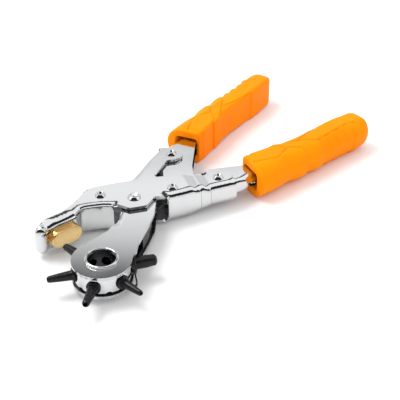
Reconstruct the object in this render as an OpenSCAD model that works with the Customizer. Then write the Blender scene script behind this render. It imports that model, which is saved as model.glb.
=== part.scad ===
// Rotary hole punch for leather: compound-lever pliers with a six-tube turret.
// The tool lies on its side, its hinge axes upright. The drawing's own origin is
// the main pivot at mid-thickness, +X runs to the handles and +Y to handle A.
// place() then sets the bounding box's bottom centre on the origin.

/* [Levers] */
// Distance from the main pivot to each handle pivot
arm_length = 60.2; // [50:0.1:75]
// Angle between each rear arm and the centre line
arm_angle = 21; // [15:0.5:28]
// Distance from the main pivot to the link pin that joins the handles
link_x = 37; // [30:0.5:42]
// Sheet thickness of the two jaw levers
lever_t = 2; // [1.5:0.1:3]
// Outer width of the anvil lever across its two plates, at the jaw
anvil_stack = 20.8; // [18:0.1:26]
// Outer width of the turret lever, and of the anvil lever's narrowed rear end
turret_stack = 16; // [14:0.1:20]
// Sheet thickness of the handle frames
frame_t = 1.5; // [1:0.1:2.5]
// Outer width of the handle frames
frame_stack = 11.4; // [10:0.1:14]
// Outer width of handle B's tongue, which sits inside handle A at the link pin
tongue_stack = 7.8; // [6:0.1:9]

/* [Turret] */
// Turret centre, along X from the main pivot
hub_x = -56; // [-65:0.5:-45]
// Turret centre, along Y from the main pivot
hub_y = -29.5; // [-36:0.5:-22]
// Radius of the turret lever's round head
head_r = 18.4; // [16:0.1:22]
// Radius of the turret wheel
wheel_r = 17.3; // [15:0.1:20]
// Thickness of the turret wheel
wheel_h = 11.4; // [10:0.1:13]
// Radius from the turret centre to the tips of the punch tubes
tip_r = 33.5; // [28:0.5:38]
// Radius of the open bore through the turret
hub_bore_r = 8.6; // [6:0.1:10]
// Cutting diameters of tubes 1 to 6
tube_bores = [3.5, 2.5, 3, 2, 4.5, 4]; // [2:0.5:5]

/* [Anvil] */
// Length of the brass pad
pad_length = 22; // [16:0.5:28]
// Height of the brass pad
pad_height = 11.5; // [8:0.5:14]
// Thickness of the brass pad
pad_t = 5.4; // [3:0.1:8]
// Tilt of the jaw face, so that it meets the tube squarely when the jaws close
jaw_tilt = 6.5; // [0:0.5:10]

/* [Grips] */
// Length of each grip
grip_length = 103; // [90:1:120]
// Thickness of each grip
grip_h = 24.6; // [20:0.2:30]
// Angle between each grip's centre line and the tool's centre line
grip_angle = 7.8; // [4:0.1:14]

/* [Pivots] */
// Radius of the main pivot rivet
main_shaft_r = 3.5; // [2.5:0.1:5]
// Radius of the handle and spacer rivets
small_shaft_r = 2; // [1.5:0.1:2.4]
// Radial gap of a turning fit
running_gap = 0.05; // [0.01:0.01:0.1]
// Radial gap of the link pin in handle B's tongue
link_gap = 0.5; // [0.2:0.05:0.8]

/* [Hidden] */
chrome = [0.80, 0.81, 0.83];
satin_steel = [0.62, 0.63, 0.65];
black_steel = [0.08, 0.08, 0.09];
brass = [0.86, 0.66, 0.30];
orange_rubber = [0.97, 0.52, 0.05];

handle_a_pin = arm_length * [cos(arm_angle), sin(arm_angle)];
handle_b_pin = arm_length * [cos(arm_angle), -sin(arm_angle)];
link_pin_xy = [link_x, 0];
hub = [hub_x, hub_y];
front_rivet_xy = [-13.3, 17.5];
rear_rivet_xy = [24.5, -10.3];
stop_pin_xy = [12.5, -5.5];

nose_c = [-61.6, 19.6];
nose_r = 4.4;
pad_c = [-48, 12.9];
pad_way = [cos(jaw_tilt), -sin(jaw_tilt)];
pad_back = pad_c + pad_t / 2 * [sin(jaw_tilt), cos(jaw_tilt)];
grip_root = [81, 32.6];
turret_ear_r = 7.8;
frame_ear_r = 6.5;
link_ear_r = 8.6;

head_small_r = 3.55;
head_main_r = 4.4;
head_h = 1.5;
boss_r = 9.6;
eyelet_r = 10.4;
eyelet_h = 1.4;
socket_r = 3.1;
collar_r = 4.5;
collar_end = wheel_r + 1.3;
tube_start = 12.1;
slot_half = 4.2;
spring_t = 0.8;
coil_r = 3.8;
coil_inner_r = 2.75;
wire_r = 0.45;

tube_tip_r = [2.25, 2.1, 2.25, 1.75, 3.5, 2.6];
first_tube = 90;
far = 400;

// The bounding box: a slanted tube tip to the grip ends, and the straight tube
// below the turret to handle A's palm side
low_x = hub_x - tip_r * cos(30) - 0.8;
high_x = 183.6;
low_y = hub_y - tip_r;
high_y = 55.6;
rest_height = grip_h / 2;

function arc(c, r, a0, a1, n = 10) =
    [for (i = [0:n]) let (a = a0 + (a1 - a0) * i / n) c + r * [cos(a), sin(a)]];
function flip(points) = [for (p = points) [p[0], -p[1]]];

module place()
    translate([-(low_x + high_x) / 2, -(low_y + high_y) / 2, rest_height])
        children();

module slab(height)
    translate([0, 0, -height / 2]) linear_extrude(height) children();

module two_plates(stack, t)
    for (side = [-1, 1])
        translate([0, 0, side * (stack - t) / 2]) slab(t) children();

// The strip of an outline that faces away from the direction given
module edge_strip(inward)
    difference() {
        children();
        translate(inward) children();
    }

module drill(xy, r)
    translate(xy) cylinder(r = r, h = far, center = true, $fn = 64);

// A rivet with a low domed head on each end, dimpled as a pressed rivet is
module rivet(xy, shaft_r, head_r, stack) {
    head = concat([[0, 0], [head_r, 0], [head_r, head_h * 0.45]],
                  [[head_r * 0.86, head_h * 0.8], [head_r * 0.62, head_h]],
                  [[head_r * 0.4, head_h], [head_r * 0.28, head_h * 0.55]],
                  [[0, head_h * 0.45]]);
    translate(xy) {
        cylinder(r = shaft_r, h = stack, center = true, $fn = 64);
        for (side = [0, 1]) mirror([0, 0, side])
            translate([0, 0, stack / 2]) rotate_extrude($fn = 64) polygon(head);
    }
}

module spacer(xy, bore_r, outer_r, height)
    translate(xy) difference() {
        cylinder(r = outer_r, h = height, center = true, $fn = 64);
        cylinder(r = bore_r, h = height + 1, center = true, $fn = 64);
    }

// ---- Anvil lever: the body that everything else turns on ----

function anvil_outline() = concat(
    arc(nose_c, nose_r, 90, 280, 16),
    [pad_back - 10.6 * pad_way, pad_back + 10.8 * pad_way],
    [[-34.5, 15.4], [-31.5, 16.6], [-29, 16.2], [-25.5, 14]],
    [[-19, 9.4], [-12.6, 2.2]],
    [[-10.4, -6.5], [-0.9, -12.3], [9.6, -9.2], [12.2, -11.8], [17, -15.8]],
    [[24, -19], [34, -22.9], [44.3, -28.2], [60.8, -34.9]],
    arc([60.3, -26], 4, -35, 30, 4),
    [[61, -19], [54.3, -14.5], [45.7, -9.6], [29, 3.9], [18.3, 12.9], [10, 16.2]],
    [[-3, 24], [-9, 26.9]],
    arc([-15.8, 21.6], 7, 75, 118, 4),
    [[-27, 24.6], [-40.5, 22.0]]);

// Half-thickness along the rear arm, which two pressed steps narrow
module anvil_side(inset) {
    high = anvil_stack / 2 - inset;
    low = turret_stack / 2 - inset;
    middle = (high + low) / 2;
    upper = [[-far, high], [39, high], [42, middle], [47, middle], [50, low], [far, low]];
    rotate([90, 0, -28]) linear_extrude(far, center = true)
        polygon(concat(upper, [for (i = [len(upper) - 1:-1:0]) [upper[i][0], -upper[i][1]]]));
}

module anvil_spine() {
    intersection() {
        edge_strip([0.5, lever_t]) polygon(anvil_outline());
        union() {
            translate([-80, -40]) square([80 - 13, 80]);
            translate([16, -40]) square([44, 80]);
        }
    }
    intersection() {
        edge_strip([lever_t, -0.4]) polygon(anvil_outline());
        translate([-80, 0]) square([20, 40]);
    }
}

module anvil_lever() place() color(chrome)
    difference() {
        union() {
            difference() {
                intersection() {
                    slab(anvil_stack) polygon(anvil_outline());
                    anvil_side(0);
                }
                anvil_side(lever_t);
            }
            intersection() {
                slab(anvil_stack) anvil_spine();
                anvil_side(0);
            }
        }
        drill([0, 0], main_shaft_r);
        drill(front_rivet_xy, small_shaft_r);
        drill(rear_rivet_xy, small_shaft_r);
        drill(handle_b_pin, small_shaft_r);
    }

module pad_outline(grow = 0) {
    reach = (pad_length - pad_height) / 2;
    square([2 * reach, pad_height + 2 * grow], center = true);
    for (side = [-1, 1])
        translate([side * reach, 0]) circle(r = pad_height / 2 + grow, $fn = 48);
}

// Oblong striking pad, ribbed round its rim, its face towards the turret
module anvil_pad() place() color(brass)
    translate(pad_c) rotate([90, 0, -jaw_tilt]) {
        translate([0, 0, -pad_t / 2]) linear_extrude(pad_t) pad_outline(-0.25);
        for (i = [0:2])
            translate([0, 0, -pad_t / 2 + 0.4 + i * 1.7]) linear_extrude(1.1) pad_outline();
    }

module main_pivot_rivet() place() color(chrome)
    rivet([0, 0], main_shaft_r, head_main_r, anvil_stack);

module front_spacer_rivet() place() color(chrome)
    rivet(front_rivet_xy, small_shaft_r, head_small_r, anvil_stack);

module front_spacer() place() color(satin_steel)
    spacer(front_rivet_xy, small_shaft_r, 3.6, anvil_stack - 2 * lever_t);

module rear_spacer_rivet() place() color(chrome)
    rivet(rear_rivet_xy, small_shaft_r, head_small_r, anvil_stack);

module rear_spacer() place() color(satin_steel)
    spacer(rear_rivet_xy, small_shaft_r, coil_inner_r - 0.1, anvil_stack - 2 * lever_t);

module handle_b_rivet() place() color(chrome)
    rivet(handle_b_pin, small_shaft_r, head_small_r, turret_stack);

// Torsion spring round the rear spacer, with one leg on the spine and one on
// the turret lever's stop pin
module return_spring() place() color(satin_steel) {
    translate(rear_rivet_xy) difference() {
        cylinder(r = coil_r, h = 6.4, center = true, $fn = 48);
        cylinder(r = coil_inner_r, h = 7, center = true, $fn = 48);
    }
    // Each leg: its direction, its height and its length
    for (leg = [[183.4, -2.4, 13.5], [-23.5, 2.4, 11]])
        translate([rear_rivet_xy[0], rear_rivet_xy[1], leg[1]]) rotate([0, 0, leg[0]])
            translate([0, -(coil_r + coil_inner_r) / 2, 0]) rotate([0, 90, 0])
                cylinder(r = wire_r, h = leg[2], $fn = 24);
}

// ---- Turret lever ----

function turret_outline() = concat(
    arc(hub, head_r, 78, 316, 22),
    [[-36.5, -39.2], [-30, -34.4], [-12.6, -25.9], [-2.2, -20.2], [9.7, -10]],
    [[16, -4], [22, 3], [27.5, 8.6], [35.4, 13.3], [47.7, 17.6]],
    arc(handle_a_pin, turret_ear_r, -140, 62, 14),
    [[55.5, 32.6], [40.6, 28.4], [27.5, 23.4], [13.1, 18.5], [-1, 13.2]],
    [[-8.4, 7.4], [-10.6, 1], [-19.7, -5.9], [-29, -9.9], [-34.5, -11.6]],
    [[-43.6, -11.5]]);

module turret_spine()
    intersection() {
        edge_strip([0.7, -lever_t]) polygon(turret_outline());
        union() {
            translate([-26, -20]) square([13, 30]);
            translate([14, 10]) square([40, 30]);
        }
    }

module turret_lever() place() color(chrome)
    difference() {
        union() {
            two_plates(turret_stack, lever_t) polygon(turret_outline());
            slab(turret_stack) turret_spine();
        }
        drill([0, 0], main_shaft_r + running_gap);
        drill(handle_a_pin, small_shaft_r);
        drill(hub, boss_r + running_gap);
    }

module pivot_bush() place() color(satin_steel)
    spacer([0, 0], main_shaft_r + running_gap, 6, turret_stack - 2 * lever_t);

module spring_stop_pin() place() color(satin_steel)
    translate(stop_pin_xy)
        cylinder(r = 1.6, h = turret_stack - 2 * lever_t, center = true, $fn = 32);

module handle_a_rivet() place() color(chrome)
    rivet(handle_a_pin, small_shaft_r, head_small_r, turret_stack);

// Leaf spring on edge between the plates; it forks over the row of tubes
leaf_line = [[-4, -18.2], [-13, -24], [-30, -32.2], [-38.5, -38.6], [-43.4, -44.4],
    [-48, -50], [-51.8, -49.6]];

module leaf_ribbon(points)
    polygon(concat(points, [for (i = [len(points) - 1:-1:0]) points[i] + [-0.5, 0.62] * spring_t]));

module detent_spring() place() color(black_steel)
    difference() {
        slab(12) leaf_ribbon(leaf_line);
        translate([-60, -60, -slot_half]) cube([39, 40, 2 * slot_half]);
    }

module detent_anchor() place() color(satin_steel)
    translate([-6.85, -16.9]) cylinder(r = 1.9, h = turret_stack - 2 * lever_t, center = true, $fn = 32);

// ---- Turret ----

module radial(index)
    translate(hub) rotate([0, 0, first_tube + 60 * index]) rotate([0, 90, 0]) children();

module turret_wheel() place() color(chrome)
    difference() {
        translate(hub) {
            cylinder(r = wheel_r, h = wheel_h, center = true, $fn = 96);
            cylinder(r = boss_r, h = turret_stack + 0.2, center = true, $fn = 96);
        }
        drill(hub, hub_bore_r);
        for (i = [0:5]) {
            radial(i) cylinder(r = socket_r, h = wheel_r + 1, $fn = 48);
            for (side = [-1, 1])
                translate(hub) rotate([0, 0, first_tube + 30 + 60 * i])
                    translate([wheel_r + 0.3, 0, side * wheel_h / 2])
                        cylinder(r = 1.9, h = 3.6, center = true, $fn = 32);
        }
    }

// Flared rim that holds the wheel's boss in the plate
module eyelet_rim(side)
    translate(hub) mirror([0, 0, side]) translate([0, 0, turret_stack / 2 + 0.1])
        rotate_extrude($fn = 96) polygon([
            [hub_bore_r, 0], [eyelet_r - 0.2, 0], [eyelet_r, 0.3],
            [eyelet_r - 0.25, eyelet_h - 0.3], [eyelet_r - 0.8, eyelet_h],
            [hub_bore_r + 0.6, eyelet_h], [hub_bore_r, eyelet_h - 0.7]]);

module upper_eyelet() place() color(chrome) eyelet_rim(0);
module lower_eyelet() place() color(chrome) eyelet_rim(1);

// A hollow steel punch: shank in the wheel, collar, tapered tube, sharp mouth
module punch_tube(index) place() color(black_steel)
    radial(index) {
        bore = tube_bores[index] / 2;
        tip = tube_tip_r[index];
        rotate_extrude($fn = 48) polygon([
            [bore + 0.35, tube_start], [socket_r - 0.02, tube_start],
            [socket_r - 0.02, wheel_r], [collar_r, wheel_r + 0.1], [collar_r, collar_end - 0.4],
            [collar_r - 0.5, collar_end], [min(tip + 0.75, 3.9), collar_end],
            [tip + 0.2, tip_r - 5], [tip, tip_r - 0.9], [bore + 0.12, tip_r],
            [bore, tip_r], [bore, tip_r - 6], [bore + 0.35, tip_r - 7]]);
    }

module punch_tube_1() punch_tube(0);
module punch_tube_2() punch_tube(1);
module punch_tube_3() punch_tube(2);
module punch_tube_4() punch_tube(3);
module punch_tube_5() punch_tube(4);
module punch_tube_6() punch_tube(5);

// ---- Handles ----

tang_outer = [[63, 31.6], [70, 34], [78, 35.6], [104, 40.6], [150, 47]];
tang_inner = [[150, 38.2], [104, 30.4], [88, 26], [78.6, 20.1]];

function frame_outline() = concat(
    arc(handle_a_pin, frame_ear_r, 150, 78, 6),
    tang_outer, tang_inner,
    [[58, 3.8], [49.4, -5.9]],
    arc(link_pin_xy, link_ear_r, -75, -190, 10));

module frame_spine(outline)
    intersection() {
        edge_strip([0.3, -frame_t]) polygon(outline);
        translate([62, 10]) square([90, 40]);
    }

module handle_a_frame() place() color(chrome)
    difference() {
        union() {
            two_plates(frame_stack, frame_t) polygon(frame_outline());
            slab(frame_stack) frame_spine(frame_outline());
        }
        drill(handle_a_pin, small_shaft_r + running_gap);
        drill(link_pin_xy, small_shaft_r);
    }

// Solid of revolution about the link pin: thin near the pin, full width further out
module tongue_side(inset) {
    low = tongue_stack / 2 - inset;
    high = frame_stack / 2 - inset;
    translate(link_pin_xy) rotate_extrude($fn = 96) polygon([
        [0, -low], [21.2, -low], [22.6, -high], [far, -high],
        [far, high], [22.6, high], [21.2, low], [0, low]]);
}

function tongue_outline() = concat(
    arc(handle_a_pin, frame_ear_r, 150, 78, 6),
    tang_outer, tang_inner,
    [[62, 8.5], [57.5, 7]],
    arc(link_pin_xy, 6.5, -20, -200, 10));

module handle_b_frame() place() color(chrome) mirror([0, 1, 0])
    difference() {
        union() {
            difference() {
                intersection() {
                    slab(frame_stack) polygon(tongue_outline());
                    tongue_side(0);
                }
                tongue_side(frame_t);
            }
            slab(frame_stack) frame_spine(tongue_outline());
        }
        drill(handle_a_pin, small_shaft_r + running_gap);
        drill(link_pin_xy, small_shaft_r + link_gap);
    }

module handle_link_pin() place() color(chrome)
    rivet(link_pin_xy, small_shaft_r, head_small_r, frame_stack);

// Stations along a grip: distance, inner side, outer side and half-thickness
grip_stations = [
    [0, -12.7, 12.6, 0.97], [4, -12.6, 12.9, 1], [20, -11.3, 12.6, 1],
    [50, -9.9, 11.6, 1], [80, -9.8, 10.8, 1], [95, -9.2, 10.2, 0.97],
    [grip_length, -4.2, 6.0, 0.62]];

// D-shaped section: flat towards the other handle, round on the palm side
function grip_section(s) = let (h = s[3] * grip_h / 2, w = s[2] - s[1]) concat(
    [[s[1] + 1.5, -h], [s[1], -h + 1.5], [s[1], h - 1.5], [s[1] + 1.5, h]],
    [for (a = [90:-20:-90]) [s[2] - w * 0.45 * (1 - cos(a)), h * sin(a)]]);

module grip_slice(s)
    translate([s[0], 0, 0]) rotate([90, 0, 90]) linear_extrude(0.02) polygon(grip_section(s));

module grip_solid()
    difference() {
        translate(grip_root) rotate([0, 0, grip_angle])
            for (i = [0:len(grip_stations) - 2]) hull() {
                grip_slice(grip_stations[i]);
                grip_slice(grip_stations[i + 1]);
            }
        slab(frame_stack) polygon(concat(tang_outer, tang_inner));
    }

module grip_a() place() color(orange_rubber) grip_solid();
module grip_b() place() color(orange_rubber) mirror([0, 1, 0]) grip_solid();

anvil_lever();
anvil_pad();
main_pivot_rivet();
front_spacer_rivet();
front_spacer();
rear_spacer_rivet();
rear_spacer();
handle_b_rivet();
return_spring();
turret_lever();
pivot_bush();
spring_stop_pin();
handle_a_rivet();
detent_spring();
detent_anchor();
turret_wheel();
upper_eyelet();
lower_eyelet();
punch_tube_1();
punch_tube_2();
punch_tube_3();
punch_tube_4();
punch_tube_5();
punch_tube_6();
handle_a_frame();
handle_b_frame();
handle_link_pin();
grip_a();
grip_b();
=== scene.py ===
import math

import bmesh
import bpy
from mathutils import Matrix, Vector, geometry


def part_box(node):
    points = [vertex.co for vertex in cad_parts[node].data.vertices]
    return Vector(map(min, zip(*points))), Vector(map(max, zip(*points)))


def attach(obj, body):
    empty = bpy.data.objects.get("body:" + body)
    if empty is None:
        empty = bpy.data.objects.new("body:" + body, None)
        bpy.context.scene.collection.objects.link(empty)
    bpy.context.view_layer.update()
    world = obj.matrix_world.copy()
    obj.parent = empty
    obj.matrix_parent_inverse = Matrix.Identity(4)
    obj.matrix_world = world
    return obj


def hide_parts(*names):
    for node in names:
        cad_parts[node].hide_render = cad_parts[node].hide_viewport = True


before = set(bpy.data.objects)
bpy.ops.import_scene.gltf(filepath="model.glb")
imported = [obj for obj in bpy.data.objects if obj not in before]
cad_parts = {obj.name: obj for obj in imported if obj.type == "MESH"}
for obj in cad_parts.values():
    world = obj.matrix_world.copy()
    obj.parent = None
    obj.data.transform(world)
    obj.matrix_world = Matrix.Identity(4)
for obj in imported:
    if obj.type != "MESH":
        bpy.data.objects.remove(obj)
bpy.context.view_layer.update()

# Every shape is drawn in millimetres about the main pivot, at mid-thickness, with
# +X to the handles, +Y to handle A and +Z up along the pivots.
MM = 0.001


def middle(node):
    low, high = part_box(node)
    return (low + high) / 2


PIVOT = middle("main_pivot_rivet")


def place(node):
    """A node's centre in the drawing, in millimetres."""
    return (middle(node) - PIVOT) / MM


def height(node):
    """A node's size along the pivots, in millimetres."""
    low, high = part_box(node)
    return (high.z - low.z) / MM


HUB = place("turret_wheel").to_2d()
PIN_A = place("handle_a_rivet").to_2d()
PIN_B = place("handle_b_rivet").to_2d()
LINK_PIN = place("handle_link_pin").to_2d()

HEAD_H = 1.5
SHAFT_R = 2
MAIN_SHAFT_R = 3.5
LEVER_T = 2.0
FRAME_T = 1.5
ANVIL_STACK = height("main_pivot_rivet") - 2 * HEAD_H
TURRET_STACK = height("handle_a_rivet") - 2 * HEAD_H
FRAME_STACK = height("handle_link_pin") - 2 * HEAD_H


# ---- Mesh tools ----


def arc(centre, r, start, end, n=10):
    """Points on an arc, its angles in degrees."""
    turn = [math.radians(start + (end - start) * i / n) for i in range(n + 1)]
    return [(centre[0] + r * math.cos(a), centre[1] + r * math.sin(a)) for a in turn]


def circle(centre, r, n=48):
    return arc(centre, r, 0, 360, n)[:-1]


def smoothstep(a, b, x):
    t = min(max((x - a) / (b - a), 0), 1)
    return t * t * (3 - 2 * t)


def new_object(name, mesh, body, material, nodes=(), matrix=None):
    """A piece drawn in millimetres, set into the row frame on its CAD body."""
    obj = bpy.data.objects.new(name, mesh)
    bpy.context.scene.collection.objects.link(obj)
    mesh.transform(Matrix.Translation(PIVOT) @ Matrix.Scale(MM, 4) @ (matrix or Matrix()))
    mesh.materials.append(material)
    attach(obj, body)
    if nodes:
        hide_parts(*nodes)
    return obj


def mesh_from(name, points, faces):
    mesh = bpy.data.meshes.new(name)
    mesh.from_pydata([tuple(p) for p in points], [], faces)
    mesh.validate()
    return mesh


def face_outwards(mesh):
    """Turns every face of a closed mesh outwards."""
    bm = bmesh.new()
    bm.from_mesh(mesh)
    bmesh.ops.recalc_face_normals(bm, faces=bm.faces)
    bm.to_mesh(mesh)
    bm.free()
    return mesh


def soften(obj, angle=35, bevel=0.0, segments=2):
    """Rounds the sharp edges and smooths the shading between them."""
    if bevel:
        modifier = obj.modifiers.new("bevel", "BEVEL")
        modifier.width = bevel * MM
        modifier.segments = segments
        modifier.limit_method = "ANGLE"
        modifier.angle_limit = math.radians(angle)
        modifier.harden_normals = False
    obj.data.shade_smooth()
    obj.data.set_sharp_from_angle(angle=math.radians(angle))
    weighted = obj.modifiers.new("weighted", "WEIGHTED_NORMAL")
    weighted.keep_sharp = True
    return obj


def bake(obj):
    """Puts the result of an object's modifiers into its mesh."""
    bpy.context.view_layer.update()
    dg = bpy.context.evaluated_depsgraph_get()
    mesh = bpy.data.meshes.new_from_object(obj.evaluated_get(dg))
    obj.modifiers.clear()
    obj.data = mesh


def lathe(name, profile, n=64):
    """A closed profile of (radius, height) turned about Z; radius 0 closes on the axis."""
    points, faces, rows = [], [], []
    for r, z in profile:
        if r < 1e-6:
            rows.append([len(points)])
            points.append((0, 0, z))
        else:
            rows.append(list(range(len(points), len(points) + n)))
            points += [(x, y, z) for x, y in circle((0, 0), r, n)]
    for a, b in zip(rows, rows[1:] + rows[:1]):
        if len(a) == 1 and len(b) == 1:
            continue
        for i in range(n):
            j = (i + 1) % n
            if len(a) == 1:
                faces.append((a[0], b[j], b[i]))
            elif len(b) == 1:
                faces.append((a[i], a[j], b[0]))
            else:
                faces.append((a[i], a[j], b[j], b[i]))
    return face_outwards(mesh_from(name, points, faces))


def skin(name, rings):
    """A skin over rings with the same number of points, closed at both ends."""
    n = len(rings[0])
    last = (len(rings) - 1) * n
    faces = []
    for start in range(0, last, n):
        for k in range(n):
            m = (k + 1) % n
            faces.append((start + k, start + m, start + n + m, start + n + k))
    faces.append(tuple(reversed(range(n))))
    faces.append(tuple(range(last, last + n)))
    return mesh_from(name, [p for ring in rings for p in ring], faces)


def wire(name, path, r, n=12):
    """A round wire along a path."""
    path = [Vector(p) for p in path]
    rings = []
    side = Vector((0, 0, 1))
    for i, p in enumerate(path):
        way = (path[min(i + 1, len(path) - 1)] - path[max(i - 1, 0)]).normalized()
        side = (side - way * side.dot(way)).normalized()
        up = way.cross(side)
        rings.append([p + side * x + up * y for x, y in circle((0, 0), r, n)])
    return face_outwards(skin(name, rings))


def inside(p, outline):
    """Whether a point lies inside an outline."""
    odd = False
    for (x0, y0), (x1, y1) in zip(outline, outline[1:] + outline[:1]):
        if (y0 > p[1]) != (y1 > p[1]) and p[0] < (x1 - x0) * (p[1] - y0) / (y1 - y0) + x0:
            odd = not odd
    return odd


def divide(outline, step):
    """The outline with its long edges cut into pieces of about one step."""
    out = []
    for a, b in zip(outline, outline[1:] + outline[:1]):
        a, b = Vector(a), Vector(b)
        n = max(1, round((b - a).length / step))
        out += [tuple(a.lerp(b, i / n)) for i in range(n)]
    return out


def distance(p, segments):
    """From a point to the nearest of some line segments."""
    best = 1e9
    for a, b in segments:
        ab = b - a
        t = min(max((p - a).dot(ab) / ab.length_squared, 0), 1)
        best = min(best, (a + ab * t - p).length)
    return best


def roll_points(border, outward, wall, bend, clear):
    """Rows of points along the roll, at even turns of its quarter circle."""
    n, rows, turn = len(border), 6, 15
    wall_lines = [(border[i], border[(i + 1) % n]) for i in range(n) if wall[i]]
    starts = [((border[i] + border[(i + 1) % n]) / 2, outward[i]) for i in range(n) if wall[i]]
    starts += [(border[i], (outward[i - 1] + outward[i]).normalized())
               for i in range(n) if wall[i] and wall[i - 1]]
    points = []
    for k in range(1, rows + 1):
        for spot, way in starts:
            depth = bend(spot) * (1 - math.cos(math.radians(turn * k)))
            p = spot - way * depth
            if abs(distance(p, wall_lines) - depth) < 0.03 and clear(p, depth * 0.9):
                points.append(p)
    return points


def field_points(border, step, wall_lines, bend, clear):
    """An even field of points over the flat inside the roll."""
    xs = [p.x for p in border]
    ys = [p.y for p in border]
    points = []
    for a in range(int((max(xs) - min(xs)) / step) + 1):
        for b in range(int((max(ys) - min(ys)) / step) + 1):
            p = Vector((min(xs) + a * step, min(ys) + (b + a % 2 / 2) * step))
            if clear(p, step * 0.45) and (not wall_lines or distance(p, wall_lines) > bend(p) + 0.3):
                points.append(p)
    return points


def pressed_sheet(name, outline, walled, half, bend, holes=(), step=1.6):
    """The outer skin of a pressed channel: two plates joined by a rolled wall.

    walled(middle of an edge, its outward normal) says where the wall is,
    half(point) is half the channel's outer width there and bend(point) the
    radius of the roll from plate to wall."""
    outline = divide(outline, step)
    border = [Vector(p) for p in outline]
    n = len(border)
    edges = [(i, (i + 1) % n) for i in range(n)]
    outward = []
    for i, j in edges:
        way = (border[j] - border[i]).normalized()
        outward.append(Vector((way.y, -way.x)))
    wall = [walled((border[i] + border[j]) / 2, outward[i]) for i, j in edges]
    wall_lines = [(border[i], border[j]) for (i, j), w in zip(edges, wall) if w]
    border_lines = [(border[i], border[j]) for i, j in edges]
    hole_points = []
    for hole in holes:
        first = n + len(hole_points)
        hole_points += [Vector(p) for p in hole]
        edges += [(first + k, first + (k + 1) % len(hole)) for k in range(len(hole))]

    def on_sheet(p):
        return inside(p, outline) and not any(inside(p, hole) for hole in holes)

    def clear(p, gap):
        if not on_sheet(p) or any((p - q).length < gap for q in hole_points):
            return False
        return distance(p, border_lines) > gap

    inner = roll_points(border, outward, wall, bend, clear)
    inner += field_points(border, step, wall_lines, bend, clear)
    result = geometry.delaunay_2d_cdt(border + hole_points + inner, edges, [], 0, 1e-5)
    flat, triangles, origin = result[0], result[2], result[3]
    plate = []
    for t in triangles:
        if on_sheet((flat[t[0]] + flat[t[1]] + flat[t[2]]) / 3):
            area = (flat[t[1]] - flat[t[0]]).cross(flat[t[2]] - flat[t[0]])
            plate.append(tuple(t) if area > 0 else tuple(reversed(t)))
    where = {old: new for new, olds in enumerate(origin) for old in olds}

    def top(p):
        depth, r = distance(p, wall_lines), bend(p)
        if depth >= r:
            return half(p)
        return half(p) - r + math.sqrt(max(r**2 - (r - depth) ** 2, 0))

    # the plate above, its mirror image below, and strips of wall between their edges
    m = len(flat)
    heights = [top(p) for p in flat]
    points = [(p.x, p.y, z) for p, z in zip(flat, heights)]
    points += [(p.x, p.y, -z) for p, z in zip(flat, heights)]
    faces = plate + [tuple(m + v for v in reversed(t)) for t in plate]
    rows = 4
    strips = {}
    for (i, j), w in zip(edges[:n], wall):
        if not w:
            continue
        for v in (where[i], where[j]):
            if v in strips:
                continue
            ids = [v]
            for k in range(1, rows):
                points.append((flat[v].x, flat[v].y, heights[v] * (1 - 2 * k / rows)))
                ids.append(len(points) - 1)
            strips[v] = ids + [m + v]
        a, b = strips[where[i]], strips[where[j]]
        faces += [(a[k], a[k + 1], b[k + 1], b[k]) for k in range(rows)]
    return mesh_from(name, points, faces)


def thicken(obj, t):
    """Gives a pressed skin its sheet thickness, inwards: sheared edges, and an inside coloured near black as
    painted shade.
    """
    obj.data.materials.append(EDGE)
    obj.data.materials.append(SHADED_INSIDE)
    modifier = obj.modifiers.new("sheet", "SOLIDIFY")
    modifier.thickness = t * MM
    modifier.offset = -1
    modifier.use_even_offset = False
    modifier.use_quality_normals = True
    modifier.material_offset_rim = 1
    modifier.material_offset = 2


# ---- Materials ----


def material(name, color, metallic, roughness):
    mat = bpy.data.materials.new(name)
    mat.use_nodes = True
    shader = mat.node_tree.nodes["Principled BSDF"]
    shader.inputs["Base Color"].default_value = (*color, 1)
    shader.inputs["Metallic"].default_value = metallic
    shader.inputs["Roughness"].default_value = roughness
    return mat, mat.node_tree.nodes, mat.node_tree.links, shader


def object_noise(nodes, links, scale, detail=3.0, stretch=(1, 1, 1)):
    """Noise in the object's own metres, stretched for brushing."""
    where = nodes.new("ShaderNodeTexCoord")
    mapping = nodes.new("ShaderNodeMapping")
    mapping.inputs["Scale"].default_value = stretch
    noise = nodes.new("ShaderNodeTexNoise")
    noise.inputs["Scale"].default_value = scale
    noise.inputs["Detail"].default_value = detail
    links.new(where.outputs["Object"], mapping.inputs["Vector"])
    links.new(mapping.outputs["Vector"], noise.inputs["Vector"])
    return noise


def spread(nodes, links, source, low, high, socket, start=0.3, end=0.7):
    """Maps a noise onto a range of values."""
    remap = nodes.new("ShaderNodeMapRange")
    remap.inputs["From Min"].default_value = start
    remap.inputs["From Max"].default_value = end
    remap.inputs["To Min"].default_value = low
    remap.inputs["To Max"].default_value = high
    links.new(source, remap.inputs["Value"])
    links.new(remap.outputs["Result"], socket)


def tint(nodes, links, source, low, high, socket, start=0.3, end=0.7):
    """Maps a noise onto a range of colours."""
    ramp = nodes.new("ShaderNodeValToRGB")
    ramp.color_ramp.elements[0].position = start
    ramp.color_ramp.elements[0].color = (*low, 1)
    ramp.color_ramp.elements[1].position = end
    ramp.color_ramp.elements[1].color = (*high, 1)
    links.new(source, ramp.inputs["Fac"])
    links.new(ramp.outputs["Color"], socket)


def bump(nodes, links, source, depth, shader, strength=1.0):
    node = nodes.new("ShaderNodeBump")
    node.inputs["Strength"].default_value = strength
    node.inputs["Distance"].default_value = depth
    links.new(source, node.inputs["Height"])
    links.new(node.outputs["Normal"], shader.inputs["Normal"])


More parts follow.
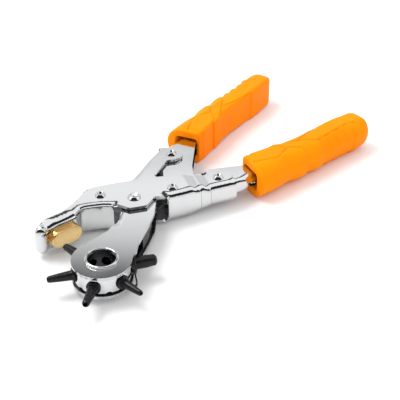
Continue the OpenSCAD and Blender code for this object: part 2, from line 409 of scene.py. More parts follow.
def chrome_material():
    mat, nodes, links, shader = material("chrome", (0.62, 0.625, 0.635), 1.0, 0.1)
    haze = object_noise(nodes, links, 55, 4)
    spread(nodes, links, haze.outputs["Fac"], 0.03, 0.09, shader.inputs["Roughness"])
    low, high = (0.60, 0.605, 0.615), (0.65, 0.655, 0.66)
    tint(nodes, links, haze.outputs["Fac"], low, high, shader.inputs["Base Color"])
    grain = object_noise(nodes, links, 900, 2, (1, 0.15, 0.15))
    bump(nodes, links, grain.outputs["Fac"], 0.000004, shader, 0.35)
    return mat


def edge_material():
    mat, nodes, links, shader = material("sheared_edge", (0.55, 0.55, 0.56), 1.0, 0.2)
    grain = object_noise(nodes, links, 1800, 3, (1, 1, 0.2))
    spread(nodes, links, grain.outputs["Fac"], 0.14, 0.28, shader.inputs["Roughness"])
    low, high = (0.45, 0.45, 0.46), (0.62, 0.62, 0.63)
    tint(nodes, links, grain.outputs["Fac"], low, high, shader.inputs["Base Color"])
    bump(nodes, links, grain.outputs["Fac"], 0.00002, shader, 0.5)
    return mat


# Dull metal coloured near black: painted shade for the insides of the pressed channels and for the turret's
# bore, sockets and notches
def shaded_inside_material():
    mat, nodes, links, shader = material("painted_shade_inside", (0.1, 0.1, 0.11), 1.0, 0.3)
    blotch = object_noise(nodes, links, 260, 4)
    spread(nodes, links, blotch.outputs["Fac"], 0.22, 0.4, shader.inputs["Roughness"])
    low, high = (0.07, 0.07, 0.075), (0.16, 0.16, 0.17)
    tint(nodes, links, blotch.outputs["Fac"], low, high, shader.inputs["Base Color"])
    bump(nodes, links, blotch.outputs["Fac"], 0.00002, shader, 0.4)
    return mat


def satin_material():
    mat, nodes, links, shader = material("satin_steel", (0.6, 0.6, 0.62), 1.0, 0.28)
    grain = object_noise(nodes, links, 700, 3, (1, 1, 0.1))
    spread(nodes, links, grain.outputs["Fac"], 0.2, 0.38, shader.inputs["Roughness"])
    low, high = (0.5, 0.5, 0.52), (0.68, 0.68, 0.7)
    tint(nodes, links, grain.outputs["Fac"], low, high, shader.inputs["Base Color"])
    bump(nodes, links, grain.outputs["Fac"], 0.00001, shader, 0.4)
    return mat


def black_material():
    mat, nodes, links, shader = material("black_oxide", (0.01, 0.01, 0.011), 0.0, 0.2)
    shader.inputs["Specular IOR Level"].default_value = 0.2
    blotch = object_noise(nodes, links, 420, 4)
    spread(nodes, links, blotch.outputs["Fac"], 0.14, 0.3, shader.inputs["Roughness"])
    low, high = (0.004, 0.004, 0.005), (0.014, 0.014, 0.016)
    tint(nodes, links, blotch.outputs["Fac"], low, high, shader.inputs["Base Color"])
    bump(nodes, links, blotch.outputs["Fac"], 0.00001, shader, 0.4)
    return mat


def brass_material():
    mat, nodes, links, shader = material("brass", (0.85, 0.60, 0.27), 1.0, 0.2)
    tarnish = object_noise(nodes, links, 160, 5)
    spread(nodes, links, tarnish.outputs["Fac"], 0.14, 0.3, shader.inputs["Roughness"])
    low, high = (0.78, 0.50, 0.19), (0.90, 0.68, 0.34)
    tint(nodes, links, tarnish.outputs["Fac"], low, high, shader.inputs["Base Color"])
    grain = object_noise(nodes, links, 1500, 2, (1, 1, 0.08))
    bump(nodes, links, grain.outputs["Fac"], 0.00001, shader, 0.4)
    return mat


def rubber_material():
    mat, nodes, links, shader = material("orange_rubber", (1.0, 0.27, 0.0), 0.0, 0.42)
    shader.inputs["Specular IOR Level"].default_value = 0.04
    cloud = object_noise(nodes, links, 40, 3)
    low, high = (0.98, 0.235, 0.0), (1.0, 0.27, 0.001)
    tint(nodes, links, cloud.outputs["Fac"], low, high, shader.inputs["Base Color"])
    spread(nodes, links, cloud.outputs["Fac"], 0.36, 0.5, shader.inputs["Roughness"])
    grain = object_noise(nodes, links, 2600, 2)
    bump(nodes, links, grain.outputs["Fac"], 0.00003, shader, 0.35)
    return mat


CHROME = chrome_material()
EDGE = edge_material()
SHADED_INSIDE = shaded_inside_material()
SATIN = satin_material()
BLACK = black_material()
BRASS = brass_material()
RUBBER = rubber_material()

# ---- Levers ----

# The turret's bore, and the boss that turns in the turret lever's plates and stands proud of them
BORE_R = 8.6
BOSS_R = 9.6
BOSS_PROUD = 0.1

NOSE = Vector((-61.6, 19.6))
NOSE_R = 4.4
JAW_TILT = math.radians(6.5)
PAD = place("anvil_pad").to_2d()
PAD_T = 5.4
PAD_LENGTH = 22
PAD_WIDTH = 11.5
PAD_WAY = Vector((math.cos(JAW_TILT), -math.sin(JAW_TILT)))
PAD_BACK = PAD + PAD_T / 2 * Vector((math.sin(JAW_TILT), math.cos(JAW_TILT)))

# Where the anvil lever's walls stop, by x: at the throat, and along the rear arm
JAW_WALL_END = -14
ARM_WALL = (16, 60.5)

# The rear arm's direction, and its two pressed steps by distance along it
ARM_WAY = Vector((math.cos(math.radians(28)), -math.sin(math.radians(28))))
STEPS = [(38, 42.5), (46, 50.5)]


def anvil_outline():
    # round the nose, along the seat of the pad and up into the throat
    points = arc(NOSE, NOSE_R, 90, 280, 20)
    points += [tuple(PAD_BACK - 10.6 * PAD_WAY), tuple(PAD_BACK + 10.8 * PAD_WAY)]
    points += [(-34.5, 15.4), (-31.5, 16.6), (-29, 16.2), (-25.5, 14), (-19, 9.4), (-12.6, 2.2)]
    # round the pivot, then along the arm with a small jog at each pressed step
    points += [(-10.4, -6.5), (-0.9, -12.3), (9.6, -9.2), (12.2, -11.8), (17, -15.8)]
    points += [(24, -19), (34, -22.9), (36.8, -24.4), (37.6, -24.1), (43.4, -27), (44.2, -26.7)]
    points += [(60.6, -34.3)]
    # round the arm's end and back along the far side
    points += arc((60.3, -26), 4, -35, 30, 6)
    points += [(61, -19), (54.3, -14.5), (45.7, -9.6), (29, 3.9), (18.3, 12.9), (10, 16.2)]
    points += [(-3, 24), (-9, 26.9)] + arc((-15.8, 21.6), 7, 75, 118, 6)
    return points + [(-27, 24.6), (-40.5, 22.0)]


def anvil_walled(p, normal):
    near_side = normal.dot(Vector((0.24, 0.97))) < -0.2
    jaw = p.x < JAW_WALL_END
    arm = ARM_WALL[0] < p.x < ARM_WALL[1]
    return near_side and (jaw or arm) or p.x < NOSE.x + 1


def anvil_half(p):
    """The arm steps in twice, from the anvil lever's full width to the turret lever's."""
    s = p.dot(ARM_WAY)
    drop = (ANVIL_STACK - TURRET_STACK) / 4
    return ANVIL_STACK / 2 - sum(drop * smoothstep(a, b, s) for a, b in STEPS)


def anvil_bend(p):
    """A wide roll along the jaw and the arm, tighter in the throat."""
    throat = smoothstep(-42, -27, p.x) * (1 - smoothstep(-8, 8, p.x))
    nose = 1 - smoothstep(-56, -50, p.x)
    return 4.6 + 0.9 * nose - 2.0 * throat


def build_anvil_lever():
    mesh = pressed_sheet("anvil_lever_body", anvil_outline(), anvil_walled, anvil_half, anvil_bend, step=1.3)
    lever = new_object("anvil_lever_body", mesh, "anvil_side", CHROME, ["anvil_lever"])
    thicken(lever, LEVER_T)
    soften(lever, 40, 0.5, 3)


# The turret lever's round head, and its ear round handle A's pin
HEAD_R = 18.4
EAR_R = 7.8


def turret_outline():
    points = arc(HUB, HEAD_R, 78, 316, 40)
    points += [(-36.5, -39.2), (-30, -34.4), (-12.6, -25.9), (-2.2, -20.2), (9.7, -10)]
    points += [(16, -4), (22, 3), (27.5, 8.6), (35.4, 13.3), (47.7, 17.6)]
    points += arc(PIN_A, EAR_R, -140, 62, 20)
    points += [(55.5, 32.6), (40.6, 28.4), (27.5, 23.4), (13.1, 18.5), (-1, 13.2)]
    points += [(-8.4, 7.4), (-10.6, 1), (-19.7, -5.9), (-29, -9.9), (-34.5, -11.6)]
    return points + [(-43.6, -11.5)]


# Where the turret lever has a far wall, by x: at the throat and along the rear arm
NECK_WALL = (-26, -13)
REAR_WALL = (14, 54)


def turret_walled(p, normal):
    far_side = normal.dot(Vector((-0.33, 0.94))) > 0.2
    neck = NECK_WALL[0] < p.x < NECK_WALL[1]
    rear = REAR_WALL[0] < p.x < REAR_WALL[1]
    return far_side and (neck or rear)


def build_turret_lever():
    bend, hole = 3.2, circle(HUB, BOSS_R + 0.05, 64)
    mesh = pressed_sheet("turret_lever_body", turret_outline(), turret_walled,
                         lambda p: TURRET_STACK / 2, lambda p: bend, [hole])
    lever = new_object("turret_lever_body", mesh, "turret_side", CHROME, ["turret_lever"])
    thicken(lever, LEVER_T)
    soften(lever, 40, 0.5, 3)


# ---- Handle frames ----

# The tang that runs into the grip, drawn for handle A: its outer and its inner side
TANG_OUTER = [(63, 31.6), (70, 34), (78, 35.6), (104, 40.6), (150, 47)]
TANG_INNER = [(150, 38.2), (104, 30.4), (88, 26), (78.6, 20.1)]
TANG_START = 62


def tang_bend(p):
    """A roll that widens towards the grip."""
    return 3.4 + 1.6 * smoothstep(TANG_START + 4, TANG_START + 12, p.x)


def frame_walled(p, normal):
    return p.x > TANG_START and normal.dot(Vector((-0.2, 0.98))) > 0.3


def build_handle_a_frame():
    outline = arc(PIN_A, 6.5, 150, 78, 8) + TANG_OUTER + TANG_INNER
    outline += [(58, 3.8), (49.4, -5.9)] + arc(LINK_PIN, 8.6, -75, -190, 14)
    outline.reverse()
    mesh = pressed_sheet("handle_a_strap", outline, frame_walled,
                         lambda p: FRAME_STACK / 2, tang_bend)
    strap = new_object("handle_a_strap", mesh, "handle_a", CHROME, ["handle_a_frame"])
    thicken(strap, FRAME_T)
    soften(strap, 40, 0.25)


def tongue_half(p):
    """Thin where it lies inside handle A at the link pin, full width further out."""
    tongue = 3.9
    widening = smoothstep(21.2, 22.8, (p - LINK_PIN).length)
    return tongue + (FRAME_STACK / 2 - tongue) * widening


def build_handle_b_frame():
    outline = arc(PIN_A, 6.5, 150, 78, 8) + TANG_OUTER + TANG_INNER
    outline += [(62, 8.5), (57.5, 7)] + arc(LINK_PIN, 6.5, -20, -200, 16)
    mesh = pressed_sheet(
        "handle_b_strap", [(x, -y) for x, y in outline],
        lambda p, normal: frame_walled(Vector((p.x, -p.y)), Vector((normal.x, -normal.y))),
        tongue_half, tang_bend)
    strap = new_object("handle_b_strap", mesh, "handle_b", CHROME, ["handle_b_frame"])
    thicken(strap, FRAME_T)
    soften(strap, 40, 0.25)


# ---- Rivets, spacers and springs ----


def build_rivet(node, body, shaft_r):
    """A set rivet: on each end a low cone with a short upright rim and a bowl in its top."""
    low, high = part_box(node)
    r = (high.x - low.x) / MM / 2
    top = (high.z - low.z) / MM / 2
    base = top - HEAD_H
    head = [(r, base), (r, base + 0.3), (r * 0.97, base + 0.42), (r * 0.68, top - 0.08), (r * 0.65, top)]
    head += [(r * 0.58, top), (r * 0.55, top - 0.06), (r * 0.3, top - 0.92), (r * 0.22, top - 0.97)]
    head += [(r * 0.12, top - 0.88), (0, top - 0.8)]
    profile = [(0, -z) if x == 0 else (x, -z) for x, z in reversed(head)]
    profile += [(shaft_r, -base), (shaft_r, base)] + head
    mesh = lathe(node + "_turned", profile, 72)
    spot = Matrix.Translation(place(node))
    rivet = new_object(node + "_turned", mesh, body, CHROME, [node], spot)
    soften(rivet, 30)


def build_rivets():
    build_rivet("main_pivot_rivet", "anvil_side", MAIN_SHAFT_R)
    build_rivet("front_spacer_rivet", "anvil_side", SHAFT_R)
    build_rivet("rear_spacer_rivet", "anvil_side", SHAFT_R)
    build_rivet("handle_b_rivet", "anvil_side", SHAFT_R)
    build_rivet("handle_a_rivet", "turret_side", SHAFT_R)
    build_rivet("handle_link_pin", "handle_a", SHAFT_R)


def build_spacer(node, body, bore_r):
    """A turned sleeve with chamfered ends and a shallow groove round its middle."""
    low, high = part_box(node)
    r = (high.x - low.x) / MM / 2
    top = (high.z - low.z) / MM / 2
    half = [(r, 0.6), (r, top - 0.35), (r - 0.35, top), (bore_r + 0.2, top), (bore_r, top - 0.2)]
    profile = [(r - 0.2, 0.3)] + half + [(x, -z) for x, z in reversed(half)] + [(r - 0.2, -0.3)]
    mesh = lathe(node + "_turned", profile, 48)
    spacer = new_object(node + "_turned", mesh, body, SATIN, [node],
                        Matrix.Translation(place(node)))
    soften(spacer, 30)


def build_pins():
    centre_mark = 0.4
    build_spacer("front_spacer", "anvil_side", SHAFT_R)
    build_spacer("rear_spacer", "anvil_side", SHAFT_R)
    build_spacer("pivot_bush", "turret_side", MAIN_SHAFT_R + 0.05)
    build_spacer("spring_stop_pin", "turret_side", centre_mark)
    build_spacer("detent_anchor", "turret_side", centre_mark)


def build_return_spring():
    """Torsion spring: turns round the rear spacer, a leg against each lever."""
    centre = place("rear_spacer").to_2d()
    coil_r, wire_r, turns, reach = 3.3, 0.45, 5, 2.4
    steps, leg_steps = 24 * turns, 8
    # each leg runs off the coil in a straight line: its direction and its length
    first_way, first_length = math.radians(183.4), 13.5
    last_way, last_length = math.radians(-23.5), 11
    start, end = first_way - math.pi / 2, last_way - math.pi / 2
    turned = 2 * math.pi * turns - (end - start)
    coil = []
    for i in range(steps + 1):
        t = i / steps
        a = start - t * turned
        coil.append(Vector((centre.x + coil_r * math.cos(a), centre.y + coil_r * math.sin(a),
                            -reach + 2 * reach * t)))
    first = Vector((math.cos(first_way), math.sin(first_way), 0)) * first_length
    last = Vector((math.cos(last_way), math.sin(last_way), 0)) * last_length
    path = [coil[0] + first * (1 - i / leg_steps) for i in range(leg_steps)]
    path += coil
    path += [coil[-1] + last * i / leg_steps for i in range(1, leg_steps + 1)]
    mesh = wire("return_spring_wire", path, wire_r)
    spring = new_object("return_spring_wire", mesh, "anvil_side", SATIN, ["return_spring"])
    soften(spring, 60)


# The detent leaf seen from above, from its anchor to the hook at its tip
LEAF_LINE = [(-4, -18.2), (-13, -24), (-30, -32.2), (-38.5, -38.6), (-43.4, -44.4), (-48, -50),
             (-51.8, -49.6)]


def through(points, n):
    """A smooth line through the points: a Catmull-Rom spline, n steps a span."""
    pts = [Vector(p) for p in points]
    pts = [2 * pts[0] - pts[1]] + pts + [2 * pts[-1] - pts[-2]]
    line = []
    for i in range(1, len(pts) - 2):
        p0, p1, p2, p3 = pts[i - 1:i + 3]
        for k in range(n):
            t = k / n
            line.append(0.5 * (2 * p1 + (p2 - p0) * t + (2 * p0 - 5 * p1 + 4 * p2 - p3) * t * t
                               + (3 * p1 - p0 - 3 * p2 + p3) * t ** 3))
    return line + [pts[-2]]


def build_detent_spring():
    """A leaf on edge between the plates, forked so that the tubes pass between its prongs."""
    line = through(LEAF_LINE, 8)
    width, thickness, slot_half, rows = 12, 0.8, 4.2, 20
    # the fork starts half way along the second span and its tips draw in a little
    fork_from, tip_steps, draw_in = 12, 3, 0.08
    levels = [width * (k / rows - 0.5) for k in range(rows + 1)]
    points, faces = [], []
    for i, p in enumerate(line):
        tip = smoothstep(len(line) - 1 - tip_steps, len(line) - 1, i)
        points += [(p.x, p.y, z * (1 - draw_in * tip)) for z in levels]
    for i in range(len(line) - 1):
        for k in range(rows):
            if i >= fork_from and abs(levels[k] + levels[k + 1]) / 2 < slot_half:
                continue
            a = i * (rows + 1) + k
            faces.append((a, a + 1, a + rows + 2, a + rows + 1))
    mesh = mesh_from("detent_leaf", points, faces)
    leaf = new_object("detent_leaf", mesh, "turret_side", BLACK, ["detent_spring"])
    sheet = leaf.modifiers.new("sheet", "SOLIDIFY")
    sheet.thickness = thickness * MM
    sheet.offset = 1
    soften(leaf, 40, 0.15)


# ---- Turret ----

# The punch tubes in order round the turret: bore diameters, and radii at the tip
TUBE_BORES = [3.5, 2.5, 3, 2, 4.5, 4]
TUBE_TIPS = [2.25, 2.1, 2.25, 1.75, 3.5, 2.6]
TUBES = len(TUBE_BORES)

WHEEL_R = 17.3
WHEEL_H = 11.4
SOCKET_R = 3.05
NOTCH_R = 2.2


def cut(obj, mesh, matrix):
    """Cuts a shape out of obj."""
    tool = bpy.data.objects.new("cutter", mesh)
    bpy.context.scene.collection.objects.link(tool)
    mesh.transform(Matrix.Translation(PIVOT) @ Matrix.Scale(MM, 4) @ matrix)
    modifier = obj.modifiers.new("cut", "BOOLEAN")
    modifier.object = tool
    modifier.solver = "EXACT"
    bake(obj)
    bpy.data.objects.remove(tool)


def round_cutter(start, end, r, n):
    """A plain round bar along its own Z, to cut with."""
    return lathe("cutter", [(0, start), (r, start), (r, end), (0, end)], n)


def tube_way(index):
    """The frame of a punch tube: its own Z runs outwards from the turret's centre."""
    turn = Matrix.Rotation(math.radians(90 + 60 * index), 4, "Z")
    return Matrix.Translation((*HUB, 0)) @ turn @ Matrix.Rotation(math.radians(90), 4, "Y")


def build_wheel():
    half, boss = WHEEL_H / 2, TURRET_STACK / 2 + BOSS_PROUD
    rim = [(BOSS_R, half), (WHEEL_R - 1.3, half), (WHEEL_R - 0.7, half - 0.15),
           (WHEEL_R - 0.15, half - 0.7), (WHEEL_R, half - 1.3)]
    upper = [(BORE_R + 0.3, boss), (BOSS_R, boss)] + rim
    lower = [(x, -z) for x, z in reversed(upper)]
    profile = [(BORE_R, boss - 0.3)] + upper + lower + [(BORE_R, 0.3 - boss)]
    mesh = lathe("turret_drum", profile, 128)
    wheel = new_object("turret_drum", mesh, "turret", CHROME, ["turret_wheel"],
                       Matrix.Translation((*HUB, 0)))
    past, lower_rim = WHEEL_R + 2, Matrix.Translation((0, 0, -half))
    for i in range(TUBES):
        cut(wheel, round_cutter(4, past, SOCKET_R, 40), tube_way(i))
        # a half-round notch in the lower rim, between two tubes
        notch = round_cutter(WHEEL_R - NOTCH_R, past, NOTCH_R, 32)
        cut(wheel, notch, lower_rim @ tube_way(i + 0.5))
    # the bore, the sockets and the notches are dull metal, coloured near black as painted shade
    wheel.data.materials.append(SHADED_INSIDE)
    hub = (PIVOT + Vector((*HUB, 0)) * MM).to_2d()
    for face in wheel.data.polygons:
        upright = abs(face.normal.z) < 0.5
        if upright and (face.center.to_2d() - hub).length < (WHEEL_R - 0.35) * MM:
            face.material_index = 1
    soften(wheel, 35, 0.15)


def build_eyelet(node, side):
    """The boss's flared lip, rolled over the plate."""
    base = TURRET_STACK / 2
    profile = [(BORE_R, base), (10.2, base), (10.42, base + 0.35), (10.4, base + 0.7)]
    profile += [(10.22, base + 1.08), (9.85, base + 1.38), (9.4, base + 1.5), (9.0, base + 1.38)]
    profile += [(8.72, base + 1.05), (8.62, base + 0.6)]
    mesh = lathe(node + "_lip", [(r, side * z) for r, z in profile], 128)
    lip = new_object(node + "_lip", mesh, "turret", CHROME, [node],
                     Matrix.Translation((*HUB, 0)))
    soften(lip, 50)


# From the turret's centre to the tubes' inner ends and to their cutting edges
TUBE_START = 12.1
TIP_REACH = 33.5
COLLAR_R = 4.5


def build_tube(index):
    """A hollow punch: collar, long taper, and a keen edge ground at the mouth."""
    node = f"punch_tube_{index + 1}"
    bore, tip = TUBE_BORES[index] / 2, TUBE_TIPS[index]
    root = min(tip + 0.85, 3.8)
    shank = [(bore + 0.35, TUBE_START), (SOCKET_R, TUBE_START), (SOCKET_R, WHEEL_R - 0.2)]
    collar = [(COLLAR_R - 0.3, WHEEL_R - 0.1), (COLLAR_R, WHEEL_R + 0.2)]
    collar += [(COLLAR_R, WHEEL_R + 0.9), (COLLAR_R - 0.35, WHEEL_R + 1.25)]
    taper = [(root + 0.3, WHEEL_R + 1.3), (root + 0.1, WHEEL_R + 1.8), (root, WHEEL_R + 3.2)]
    taper += [(tip + 0.45, TIP_REACH - 6.5), (tip + 0.2, TIP_REACH - 4), (tip + 0.04, TIP_REACH - 1.6)]
    edge = [(tip, TIP_REACH - 1.1), (bore + 0.1, TIP_REACH), (bore, TIP_REACH - 0.05)]
    edge += [(bore, TIP_REACH - 6), (bore + 0.35, TIP_REACH - 7)]
    profile = shank + collar + taper + edge
    mesh = lathe(node + "_turned", profile, 48)
    tube = new_object(node + "_turned", mesh, "turret", BLACK, [node], tube_way(index))
    soften(tube, 30)


# ---- Brass pad ----


def build_pad():
    """An oblong striking pad with fine ribs round its rim and a chamfered face."""
    reach, r = (PAD_LENGTH - PAD_WIDTH) / 2, PAD_WIDTH / 2
    ribs, groove = 5, -0.42
    pitch = (PAD_T - 0.9) / ribs
    levels = [(0, -0.35), (0.25, -0.1)]
    for k in range(ribs):
        z = 0.45 + k * pitch
        levels += [(z, 0), (z + pitch * 0.42, 0), (z + pitch * 0.55, groove), (z + pitch * 0.87, groove)]
    levels += [(PAD_T - 0.35, 0), (PAD_T - 0.12, -0.12), (PAD_T, -0.38)]
    rings = []
    for z, grow in levels:
        ring = arc((reach, 0), r + grow, -90, 90, 24) + arc((-reach, 0), r + grow, 90, 270, 24)
        rings.append([(x, y, z) for x, y in ring])
    mesh = skin("anvil_pad_ribbed", rings)
    # the pad's own Z runs from the jaw wall to the tubes
    face_way = Matrix((
        (PAD_WAY.x, 0, -math.sin(JAW_TILT), 0),
        (PAD_WAY.y, 0, -math.cos(JAW_TILT), 0),
        (0, 1, 0, 0),
        (0, 0, 0, 1)))
    spot = Matrix.Translation((PAD_BACK.x, PAD_BACK.y, 0)) @ face_way
    pad = new_object("anvil_pad_ribbed", mesh, "anvil_side", BRASS, ["anvil_pad"], spot)
    soften(pad, 30)


# ---- Grips ----

GRIP_ROOT = (81, 32.6)
GRIP_ANGLE = math.radians(7.8)
GRIP_LENGTH = 103
GRIP_H = height("grip_a") / 2
# Points round a section: the inner side, a corner, a flat side and the palm side
INNER_N, CORNER_N, SIDE_N, PALM_N = 20, 6, 44, 48
# Distance, inner side, palm side, share of the half-thickness
STATIONS = [(0, -12.7, 12.6, 0.97), (4, -12.6, 12.9, 1), (20, -11.3, 12.6, 0.985),
            (50, -9.9, 11.6, 0.985), (80, -9.8, 10.8, 1), (95, -9.2, 10.2, 0.97),
            (103, -4.2, 6.0, 0.62)]


def station(u):
    """The grip's sides at a distance along it, blended smoothly, with a round end."""
    for a, b in zip(STATIONS, STATIONS[1:]):
        if u <= b[0]:
            t = (u - a[0]) / (b[0] - a[0])
            round_end = 1 - math.sqrt(max(1 - t * t, 0))
            t = smoothstep(0, 1, t) if b[0] < GRIP_LENGTH else round_end
            return [x + (y - x) * t for x, y in zip(a[1:], b[1:])]
    return STATIONS[-1][1:]


def section(u, shrink=0.0):
    """A D-shaped ring of (v, z): flat towards the other handle, round on the palm."""
    inner, outer, share = station(u)
    inner, outer, h = inner + shrink, outer - shrink, GRIP_H * share - shrink
    r = min(2.6, h * 0.4)
    reach = (outer - inner) * 0.48
    corner = [math.pi / 2 * k / CORNER_N for k in range(CORNER_N)]
    palm = [math.pi * k / PALM_N for k in range(PALM_N)]
    across = (outer - reach - inner - r) / SIDE_N
    ring = [(inner, (h - r) * (2 * k / INNER_N - 1)) for k in range(INNER_N)]
    ring += [(inner + r * (1 - math.cos(a)), h - r + r * math.sin(a)) for a in corner]
    ring += [(inner + r + across * k, h) for k in range(SIDE_N)]
    ring += [(outer - reach + reach * math.sin(a), h * math.cos(a)) for a in palm]
    ring += [(outer - reach - across * k, -h) for k in range(SIDE_N)]
    return ring + [(inner + r * (1 - math.sin(a)), -h + r - r * math.cos(a)) for a in corner]


def mouth(wall, near_wall, palm_wall):
    """The boxy opening inside a grip, with as many points as a section."""
    inner, outer, share = station(0)
    inner, outer, h, r = inner + near_wall, outer - palm_wall, GRIP_H * share - wall, 1.4
    v0, z0 = inner + r, h - r
    v1, z1 = outer - 2 * r, h - 2 * r
    across = (v1 - v0) / SIDE_N
    ring = [(inner, z0 * (2 * k / INNER_N - 1)) for k in range(INNER_N)]
    ring += arc((v0, z0), r, 180, 90, CORNER_N)[:-1]
    ring += [(v0 + across * k, h) for k in range(SIDE_N)]
    ring += arc((v1, z1), 2 * r, 90, 0, PALM_N // 4)[:-1]
    ring += [(outer, z1 * (1 - 4 * k / PALM_N)) for k in range(PALM_N // 2)]
    ring += arc((v1, -z1), 2 * r, 0, -90, PALM_N // 4)[:-1]
    ring += [(v1 - across * k, -h) for k in range(SIDE_N)]
    return ring + arc((v0, -z0), r, -90, -180, CORNER_N)[:-1]


def lean(u, v):
    """How far the slanted mouth carries a point of the grip's front forwards."""
    return (0.4 + 3.4 * smoothstep(-13, 9, v)) * (1 - smoothstep(0, 20, u))


# Ribs on the palm side, a groove across the inner side, and the moulded lines' size
RIBS, RIBS_FROM, RIB_PITCH, RIB_HEIGHT = 4, 62, 8.2, 0.75
GROOVE_AT = 19.8
LINE_DEPTH, LINE_WIDTH = 0.8, 0.7

# Lines moulded into the grip's flat sides, as (distance along, distance across)
GRIP_LINES = [
    [(2.5, -2.2), (17.5, 3.8), (30.4, -1.3), (26.3, -7), (20.3, -11.6)],
    [(30.4, -1.3), (38.8, 4.4), (40.6, 8)],
    [(54.6, 8), (53.8, 4.6), (49.9, 1.4), (44.7, -1.5), (38, -5.4), (31.5, -9.5)],
    [(53.8, 4.6), (70, 3.2), (86.5, 1.9), (91.5, 4)],
    [(41.1, -3.3), (50.3, -6), (69.9, -9.4)],
]


def line_depth(u, v, line, width):
    p = Vector((u, v))
    d = distance(p, [(Vector(a), Vector(b)) for a, b in zip(line, line[1:])])
    return 1 - smoothstep(0, width, d)


def palm_height(u):
    """How far the finger bulges stand out on the palm side."""
    front = 0.9 * (1 - smoothstep(14, 23, u))
    first = 1.5 * smoothstep(21, 34, u) * (1 - smoothstep(37.6, 39.8, u))
    second = 1.4 * smoothstep(40, 50, u) * (1 - smoothstep(53.2, 55.4, u))
    heel = 0.8 * smoothstep(84, 88, u)
    return front + first + second + heel - 0.9


def grip_depth(u, v, z, h):
    """How far the moulded detail sinks below the plain section, in millimetres."""
    inner, outer, _ = station(u)
    palm = smoothstep(outer - 9.5, outer - 3.5, v)
    flat = smoothstep(h - 1.6, h - 0.6, abs(z)) * smoothstep(inner - 0.1, inner + 0.5, v)
    face = 1 - smoothstep(inner + 0.2, inner + 2.2, v)
    bulges = -palm_height(u) * palm
    lines = LINE_DEPTH * flat * max(line_depth(u, v, line, LINE_WIDTH) for line in GRIP_LINES)
    lip = 0.45 * smoothstep(3.3, 3.9, u) * (1 - smoothstep(4.6, 6.5, u))
    groove = 1.2 * face * (1 - smoothstep(0.3, 1.1, abs(u - GROOVE_AT)))
    recess = 0.8 * face * smoothstep(28.6, 29.6, u) * (1 - smoothstep(71, 73, u))
    chamfer = 1.3 * smoothstep(24, 33, u) * (1 - smoothstep(40, 70, u))
    chamfer *= smoothstep(h - 3.2, h, abs(z)) * (1 - smoothstep(inner + 0.5, inner + 5.5, v))
    side = palm * (1 - smoothstep(h - 0.6, h - 0.1, abs(z)))
    ribs = 0
    for k in range(RIBS):
        bow = RIBS_FROM + RIB_PITCH * k + 2.2 * (1 - (z / h) ** 2 * 1.6)
        rib = 1 - smoothstep(0.3, 1.1, abs(u - bow))
        ribs += RIB_HEIGHT * side * rib * smoothstep(1.5, 4, abs(z))
    return bulges + lines + lip + groove + recess + chamfer - ribs


def moulded_ring(u):
    """A section of the grip with its moulded detail, sunk square to the plain surface."""
    h = GRIP_H * station(u)[2]
    ring = section(u)
    moulded = []
    for k, (v, z) in enumerate(ring):
        (v0, z0), (v1, z1) = ring[k - 1], ring[(k + 1) % len(ring)]
        normal = Vector((z0 - z1, v1 - v0)).normalized()
        depth = grip_depth(u, v, z, h)
        moulded.append((u, v - normal.x * depth, z - normal.y * depth))
    return moulded


# The mouth from the inside out: distance, then its walls at the sides, the inner side and the palm
MOUTH = [(14, 6.2, 4.6, 7.7), (6, 6.1, 4.4, 7.7), (1.2, 5.4, 2.5, 7.3), (0.3, 5.1, 2.2, 6.8),
         (0, 4.7, 1.9, 6.3)]
# The rounded front edge round the mouth: how far it is drawn in, and its distance
FRONT_EDGE = [(1.2, 0), (0.5, 0.15), (0.12, 0.5)]


def build_grip(name, body, node, sign):
    rings = [[(u, v, z) for v, z in mouth(*walls)] for u, *walls in MOUTH]
    rings += [[(u, v, z) for v, z in section(u, shrink)] for shrink, u in FRONT_EDGE]
    # even steps along the grip, closer together round its end
    steps, first, last, end_part = 250, 0.9, GRIP_LENGTH - 0.05, 0.9
    for i in range(steps):
        t = i / (steps - 1)
        if t >= end_part:
            t = end_part + (1 - end_part) * math.sin((t - end_part) / (1 - end_part) * math.pi / 2)
        rings.append(moulded_ring(first + (last - first) * t))
    mesh = skin(name, [[(u - lean(u, v), v, z) for u, v, z in ring] for ring in rings])
    spot = Matrix.Scale(sign, 4, (0, 1, 0)) @ Matrix.Translation((*GRIP_ROOT, 0))
    spot = spot @ Matrix.Rotation(GRIP_ANGLE, 4, "Z")
    grip = new_object(name, mesh, body, RUBBER, [node], spot)
    face_outwards(grip.data)
    soften(grip, 60)


build_anvil_lever()
build_turret_lever()
build_handle_a_frame()
build_handle_b_frame()
build_rivets()
build_pins()
build_return_spring()
build_detent_spring()
build_wheel()
build_eyelet("upper_eyelet", 1)
build_eyelet("lower_eyelet", -1)
for index in range(TUBES):
    build_tube(index)
build_pad()
build_grip("grip_a_moulded", "handle_a", "grip_a", 1)
build_grip("grip_b_moulded", "handle_b", "grip_b", -1)

# ---- Floor, light and camera ----


def build_floor():
    reach = 4
    corners = [(-reach, -reach, 0), (reach, -reach, 0), (reach, reach, 0), (-reach, reach, 0)]
    mesh = mesh_from("floor", corners, [(0, 1, 2, 3)])
    floor = bpy.data.objects.new("floor", mesh)
    bpy.context.scene.collection.objects.link(floor)
    mesh.materials.append(material("floor", (0.86, 0.86, 0.86), 0.0, 0.6)[0])


# The camera looks this way across the tool, at this spot on the floor, from this far away
VIEW_AZIMUTH = -47.2
VIEW_ELEVATION = 34.8
VIEW_TARGET = Vector((0.00122, -0.00717, 0))
VIEW_DISTANCE = 0.72196

# Brightness of the sky along the half turn from the far horizon, over the zenith, to the
# near one: pale, a bright line, a narrow dark band, bright overhead, a wide dark band and pale
SKY_BANDS = [
    (0.0, 0.74), (0.182, 0.74), (0.187, 1.0), (0.1945, 1.0), (0.1995, 0.86), (0.205, 0.72),
    (0.2085, 0.55), (0.213, 0.24), (0.218, 0.06), (0.262, 0.06), (0.285, 1.0), (0.55, 1.0),
    (0.565, 0.02), (0.77, 0.02), (0.79, 0.1), (0.83, 0.45), (0.87, 0.85), (1.0, 0.95)]


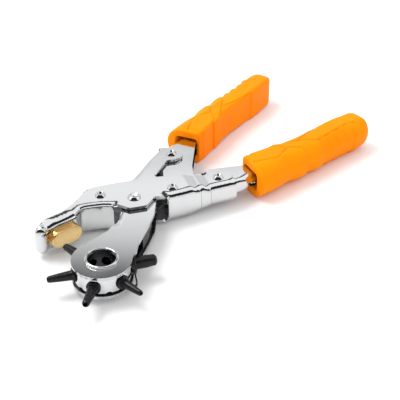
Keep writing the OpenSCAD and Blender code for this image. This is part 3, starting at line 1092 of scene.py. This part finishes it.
def build_world():
    """Pale room: light all round, with dark bands that give the chrome its contrast."""
    world = bpy.data.worlds.new("studio")
    bpy.context.scene.world = world
    world.use_nodes = True
    nodes, links = world.node_tree.nodes, world.node_tree.links
    background = nodes["Background"]
    where = nodes.new("ShaderNodeTexCoord")
    turn = nodes.new("ShaderNodeMapping")
    turn.inputs["Rotation"].default_value = (0, 0, math.radians(-VIEW_AZIMUTH))
    split = nodes.new("ShaderNodeSeparateXYZ")
    angle = nodes.new("ShaderNodeMath")
    angle.operation = "ARCTAN2"
    share = nodes.new("ShaderNodeMath")
    share.operation = "DIVIDE"
    share.inputs[1].default_value = math.pi
    ramp = nodes.new("ShaderNodeValToRGB")
    links.new(where.outputs["Generated"], turn.inputs["Vector"])
    links.new(turn.outputs["Vector"], split.inputs["Vector"])
    links.new(split.outputs["Z"], angle.inputs[0])
    links.new(split.outputs["Y"], angle.inputs[1])
    links.new(angle.outputs["Value"], share.inputs[0])
    links.new(share.outputs["Value"], ramp.inputs["Fac"])
    # the bands are for reflections; matt surfaces get plain, even light
    ray = nodes.new("ShaderNodeLightPath")
    even = nodes.new("ShaderNodeMix")
    even.data_type = "RGBA"
    even.inputs["B"].default_value = (0.87, 0.87, 0.87, 1)
    links.new(ray.outputs["Is Diffuse Ray"], even.inputs["Factor"])
    links.new(ramp.outputs["Color"], even.inputs["A"])
    links.new(even.outputs["Result"], background.inputs["Color"])
    elements = ramp.color_ramp.elements
    for i, (position, level) in enumerate(SKY_BANDS):
        if i < 2:
            element = elements[i]
            element.position = position
        else:
            element = elements.new(position)
        element.color = (level, level, level, 1)
    background.inputs["Strength"].default_value = 1.3


def area_light(name, spot, target, size, power):
    data = bpy.data.lights.new(name, "AREA")
    data.shape = "RECTANGLE"
    data.size, data.size_y = size
    data.energy = power
    light = bpy.data.objects.new(name, data)
    bpy.context.scene.collection.objects.link(light)
    light.location = spot
    light.rotation_mode = "QUATERNION"
    light.rotation_quaternion = (Vector(target) - Vector(spot)).to_track_quat("-Z", "Y")


def build_camera():
    data = bpy.data.cameras.new("camera")
    camera = bpy.data.objects.new("camera", data)
    bpy.context.scene.collection.objects.link(camera)
    a, e = math.radians(VIEW_AZIMUTH), math.radians(VIEW_ELEVATION)
    back = Vector((math.sin(a) * math.cos(e), -math.cos(a) * math.cos(e), math.sin(e)))
    data.sensor_width = 36
    data.lens = 96.4
    camera.location = VIEW_TARGET + back * VIEW_DISTANCE
    camera.rotation_mode = "QUATERNION"
    camera.rotation_quaternion = (-back).to_track_quat("-Z", "Y")
    data.clip_start, data.clip_end = 0.01, 20
    bpy.context.scene.camera = camera


build_floor()
build_world()
area_light("key", (-0.2, 0.5, 0.9), (0, 0, 0), (0.5, 0.5), 7)
build_camera()
bpy.context.scene.view_settings.view_transform = "Standard"
